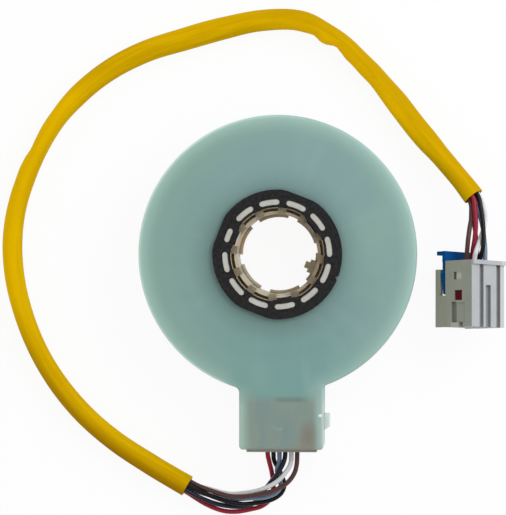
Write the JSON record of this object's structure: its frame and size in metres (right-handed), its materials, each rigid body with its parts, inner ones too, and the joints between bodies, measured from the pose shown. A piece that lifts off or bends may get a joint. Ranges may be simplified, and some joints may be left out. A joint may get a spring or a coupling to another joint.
{
  "type": "steering angle sensor",
  "caption": "Round steering column torque and angle sensor with a slotted rotor ring, keyed inner hub, tail housing and sleeved wire harness ending in a keyed plug.",
  "frame": {"origin": "middle of the sensor body's footprint on the surface; the bore's axis stands 8.45 mm to its +Y side", "axes": "+Z along the bore's axis, out of the slotted face; -Y towards the tail where the wires leave; +X towards the plug"},
  "size_m": [0.1467, 0.1468, 0.021],
  "materials": {
    "mint_nylon": "fine satin, moulded",
    "mint_lid": "fine satin, moulded",
    "grey_insert": "matt, moulded",
    "circuit_board": "solder-resist lacquer",
    "ribbon_film": "clear amber film",
    "track_film": "printed carbon tracks",
    "black_nylon": "satin, moulded",
    "white_nylon": "satin, moulded",
    "spring_steel": "plain strip",
    "contact_bronze": "stamped strip",
    "amber_resin": "glossy, slightly clear",
    "plug_grey": "satin, moulded",
    "lock_red": "satin, moulded",
    "lock_blue": "satin, moulded",
    "sleeve_yellow": "soft shiny vinyl",
    "wire_red": "smooth insulation",
    "wire_black": "smooth insulation",
    "wire_blue": "smooth insulation",
    "wire_navy": "smooth insulation",
    "wire_white": "smooth insulation",
    "wire_brown": "smooth insulation",
    "tinned_copper": "tinned strip"
  },
  "bodies": {
    "housing": {"front_cover": "mint_nylon", "rear_cover": "mint_lid", "wire_holder": "grey_insert", "joint_board": "circuit_board", "ribbon_cable": "ribbon_film", "angle_board": "track_film", "plug_housing": "plug_grey", "secondary_lock": "lock_red", "sleeve": "sleeve_yellow", "wire_red": "wire_red", "wire_black": "wire_black", "wire_blue": "wire_blue", "wire_navy": "wire_navy", "wire_white": "wire_white", "wire_brown": "wire_brown", "terminal_1": "tinned_copper", "terminal_2": "tinned_copper", "terminal_3": "tinned_copper", "terminal_4": "tinned_copper", "terminal_5": "tinned_copper", "terminal_6": "tinned_copper"},
    "rotor": {"rotor_ring": "black_nylon", "rotor_spool": "white_nylon", "hub_retainer": "spring_steel", "torque_board": "track_film", "angle_wiper": "contact_bronze"},
    "hub": {"hub": "amber_resin", "torque_wiper": "contact_bronze"},
    "position_lock": {"position_lock": "lock_blue"}
  },
  "joints": [
    {"name": "rotor_turn", "type": "hinge", "parent": "housing", "child": "rotor", "pos_m": [0, 0.00845, 0.008], "axis": [0, 0, 1], "range_deg": [-630, 630]},
    {"name": "hub_twist", "type": "hinge", "parent": "rotor", "child": "hub", "pos_m": [0, 0.00845, 0.008], "axis": [0, 0, 1], "range_deg": [-5, 5]},
    {"name": "lock_slide", "type": "slide", "parent": "housing", "child": "position_lock", "axis": [0, 0.9968, -0.0802], "range_m": [0, 0.004]}
  ]
}
